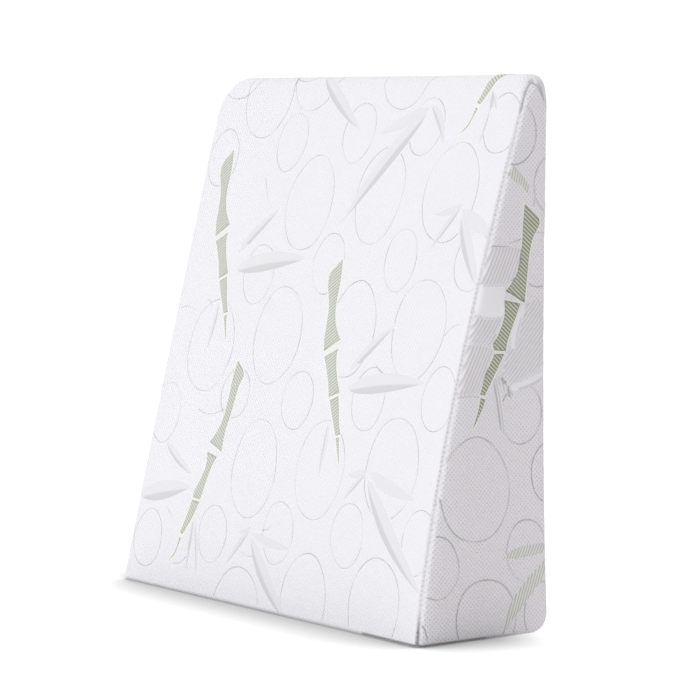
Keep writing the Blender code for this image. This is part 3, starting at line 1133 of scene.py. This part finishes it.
class StudioSettings(bpy.types.PropertyGroup):
    """Measures of the studio."""

    key_strength: bpy.props.FloatProperty(
        name="Key light", description="Strength of the soft key light", default=0.88)
    key_angle: bpy.props.FloatProperty(
        name="Key size", description="Angle across the key light", default=math.radians(30.0), subtype="ANGLE")
    sky_bright: bpy.props.FloatProperty(
        name="Bright wall", description="Brightness of the studio's left wall and ceiling", default=0.98)
    sky_dim: bpy.props.FloatProperty(
        name="Dim wall", description="Brightness of the studio's right wall", default=0.18)
    table_glow: bpy.props.FloatProperty(
        name="Table glow", description="Brightness of the lit white table", default=0.85)
    floor_radius: bpy.props.FloatProperty(
        name="Floor radius", description="Size of the round floor", default=12.0, unit="LENGTH")


class Defaults:
    """The default measures, for the functions that run before or outside an operator."""

    seam_step = 0.003
    seam_depth = 0.0005
    grid_step = 0.0046
    dents = 0.0006
    puckers = 0.0007
    gusset_swell = 0.005


SETTINGS = Defaults()


class WEDGE_OT_cover(bpy.types.Operator):
    """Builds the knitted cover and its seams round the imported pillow"""

    bl_idname = "wedge.cover"
    bl_label = "Build the cover"

    def execute(self, context):
        """Cuts, places and sews the panels, then lays the stitches."""
        settings = context.scene.wedge_pillow
        for name in ("seam_step", "seam_depth", "grid_step", "dents", "puckers", "gusset_swell"):
            setattr(SETTINGS, name, getattr(settings, name))
        cover, lines = make_cover()
        if not cover.data.polygons:
            raise RuntimeError("the cover has no faces")
        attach(cover, "root")
        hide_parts(NODE)
        stitches = make_stitches(cover, lines)
        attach(stitches, "root")
        return {"FINISHED"}


class WEDGE_OT_studio(bpy.types.Operator):
    """Sets up the pale floor, the soft light and the camera"""

    bl_idname = "wedge.studio"
    bl_label = "Set up the studio"

    def execute(self, context):
        """Adds the floor, sky, key light and camera."""
        settings = context.scene.wedge_studio
        bpy.ops.object.select_all(action="DESELECT")
        bpy.ops.mesh.primitive_circle_add(vertices=96, radius=settings.floor_radius, fill_type="NGON")
        floor = context.object
        floor.name = "studio_floor"
        material, tree, shader = cloth("studio_floor_white", 0.9, 0.0)
        shader.inputs["Base Color"].default_value = (FLOOR_GREY, FLOOR_GREY, FLOOR_GREY, 1.0)
        shader.inputs["Specular IOR Level"].default_value = 0.0
        shader.inputs["Emission Color"].default_value = (1.0, 1.0, 1.0, 1.0)
        open_ground = put(tree, "ShaderNodeAmbientOcclusion", {"Distance": SHADOW_REACH}, samples=16).outputs["AO"]
        place = put(tree, "ShaderNodeTexCoord").outputs["Object"]
        depth = put(tree, "ShaderNodeSeparateXYZ", {0: place}).outputs[1]
        dark = ramp(tree, open_ground, 0.5, 1.0, CONTACT_SHADOW, 0.0)
        shadow = maths(tree, "MULTIPLY", dark, ramp(tree, depth, 0.0, 0.1, 1.0, 0.0))
        glow = maths(tree, "MULTIPLY", maths(tree, "SUBTRACT", 1.0, shadow), settings.table_glow)
        tree.links.new(glow, shader.inputs["Emission Strength"])
        floor.data.materials.append(material)
        world = bpy.data.worlds.new("studio")
        context.scene.world = world
        world.use_nodes = True
        tree = world.node_tree
        way = put(tree, "ShaderNodeTexCoord").outputs["Generated"]
        split = put(tree, "ShaderNodeSeparateXYZ", {0: way})
        toward = maths(tree, "SUBTRACT", split.outputs[0], maths(tree, "MULTIPLY", split.outputs[2], 0.8))
        strength = ramp(tree, toward, -0.15, 0.55, settings.sky_bright, settings.sky_dim)
        strength = maths(tree, "MULTIPLY", strength, ramp(tree, split.outputs[1], -0.1, 0.4, 1.0, 1.07))
        tree.links.new(strength, tree.nodes["Background"].inputs["Strength"])
        tree.nodes["Background"].inputs["Color"].default_value = (1.0, 1.0, 1.0, 1.0)
        bpy.ops.object.light_add(type="SUN", location=(-1.0, -1.2, 2.6))
        key = context.object
        key.name = "key_light"
        key.data.energy = settings.key_strength
        key.data.angle = settings.key_angle
        key.rotation_euler = Vector(KEY_DIRECTION).to_track_quat("Z", "Y").to_euler()
        data = bpy.data.cameras.new("camera")
        data.sensor_width = SENSOR
        data.lens = SENSOR * FOCAL_PIXELS / PICTURE_PIXELS
        data.clip_end = 100.0
        camera = bpy.data.objects.new("camera", data)
        context.collection.objects.link(camera)
        turns = [math.radians(angle) for angle in (CAMERA_YAW, CAMERA_PITCH, CAMERA_ROLL)]
        camera.matrix_world = camera_matrix(*turns, CAMERA_DISTANCE, CAMERA_TARGET, *CAMERA_SHIFT)
        context.scene.camera = camera
        context.scene.view_settings.view_transform = "Standard"
        return {"FINISHED"}


class WEDGE_PT_panel(bpy.types.Panel):
    """The buttons and measures in the 3D view's sidebar"""

    bl_label = "Wedge pillow"
    bl_idname = "WEDGE_PT_panel"
    bl_space_type = "VIEW_3D"
    bl_region_type = "UI"
    bl_category = "Wedge pillow"

    def draw(self, context):
        """Lists the measures and the two operators."""
        layout = self.layout
        for group, button in ((context.scene.wedge_pillow, "wedge.cover"), (context.scene.wedge_studio,
                                                                            "wedge.studio")):
            for name in group.__annotations__:
                layout.prop(group, name)
            layout.operator(button)


CLASSES = (WedgePillowSettings, StudioSettings, WEDGE_OT_cover, WEDGE_OT_studio, WEDGE_PT_panel)


def register():
    """Adds the classes and their measures to Blender."""
    for item in CLASSES:
        bpy.utils.register_class(item)
    bpy.types.Scene.wedge_pillow = bpy.props.PointerProperty(type=WedgePillowSettings)
    bpy.types.Scene.wedge_studio = bpy.props.PointerProperty(type=StudioSettings)


def unregister():
    """Takes them out again."""
    del bpy.types.Scene.wedge_studio
    del bpy.types.Scene.wedge_pillow
    for item in reversed(CLASSES):
        bpy.utils.unregister_class(item)


def main():
    """Builds everything in order."""
    register()
    bpy.ops.wedge.cover()
    bpy.ops.wedge.studio()
    bpy.context.view_layer.update()


if __name__ == "__main__":
    main()
